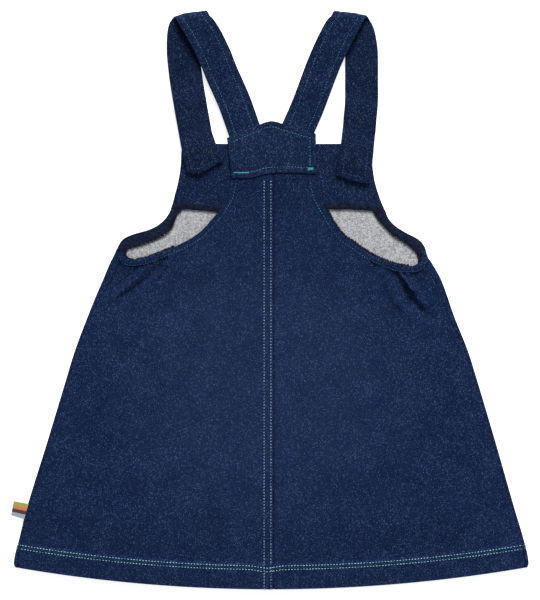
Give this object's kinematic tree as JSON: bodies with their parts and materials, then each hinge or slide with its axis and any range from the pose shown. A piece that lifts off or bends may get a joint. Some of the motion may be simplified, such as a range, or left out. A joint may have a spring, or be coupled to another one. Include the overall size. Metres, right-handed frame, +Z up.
{
  "type": "pinafore dress",
  "caption": "Child's pinafore dress in denim-look knit with buttoned straps, elastic armholes and a flared skirt, laid flat with its back up.",
  "frame": {"origin": "middle of the outline, on the surface that the dress lies on", "axes": "+Y from the hem to the straps, +X to the wearer's right seen from behind, +Z up, out of the dress's back"},
  "size_m": [0.5168, 0.5771, 0.0129],
  "materials": {
    "front_cloth": "dark blue denim-look knit outside, grey loop-back inside",
    "facing_cloth": "dark blue denim-look knit",
    "casing_cloth": "dark blue denim-look knit, gathered by elastic, with an overlocked edge",
    "back_cloth": "dark blue denim-look knit with a fine speckle",
    "yoke_cloth": "dark blue denim-look knit with turquoise topstitching",
    "strap_cloth": "dark blue denim-look knit with turquoise topstitching",
    "label": "woven satin ribbon in plain bands",
    "button": "satin dark blue plastic"
  },
  "bodies": {
    "root": {"front_panel": "front_cloth", "bib_facing": "facing_cloth", "front_casing_left": "casing_cloth", "front_casing_right": "casing_cloth", "back_left": "back_cloth", "back_right": "back_cloth", "back_yoke": "yoke_cloth", "strap_left": "strap_cloth", "strap_right": "strap_cloth", "side_label": "label", "button_left_in_bib": "button", "button_left_spare": "button", "button_right_in_bib": "button", "button_right_spare": "button"}
  },
  "joints": []
}
